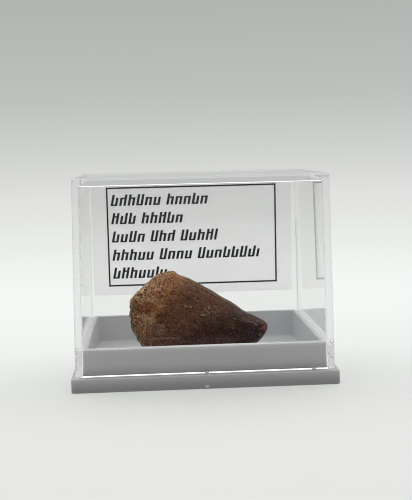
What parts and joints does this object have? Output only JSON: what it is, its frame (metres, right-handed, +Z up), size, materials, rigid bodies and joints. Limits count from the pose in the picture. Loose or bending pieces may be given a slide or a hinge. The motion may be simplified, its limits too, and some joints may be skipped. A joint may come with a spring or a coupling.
{
  "type": "fossil mosasaur tooth in a display box",
  "caption": "Worn fossil reptile tooth lying in a small clear display box with a grey tray base, a lift-off hood lid and a bordered label card.",
  "frame": {"origin": "centre of the base's underside, on the surface it stands on", "axes": "+X along the box's long side, from the tooth's broken root to its tip; +Y from the front to the label card; +Z up"},
  "size_m": [0.06, 0.051, 0.0472],
  "materials": {
    "grey_plastic": "satin moulded grey polystyrene",
    "clear_plastic": "polished clear polystyrene",
    "card": "matt white card with a printed black border",
    "fossil": "satin fossil enamel, dull pitted root"
  },
  "bodies": {
    "root": {"display_base": "grey_plastic", "clear_lid": "clear_plastic", "label_card": "card", "mosasaur_tooth": "fossil"}
  },
  "joints": []
}
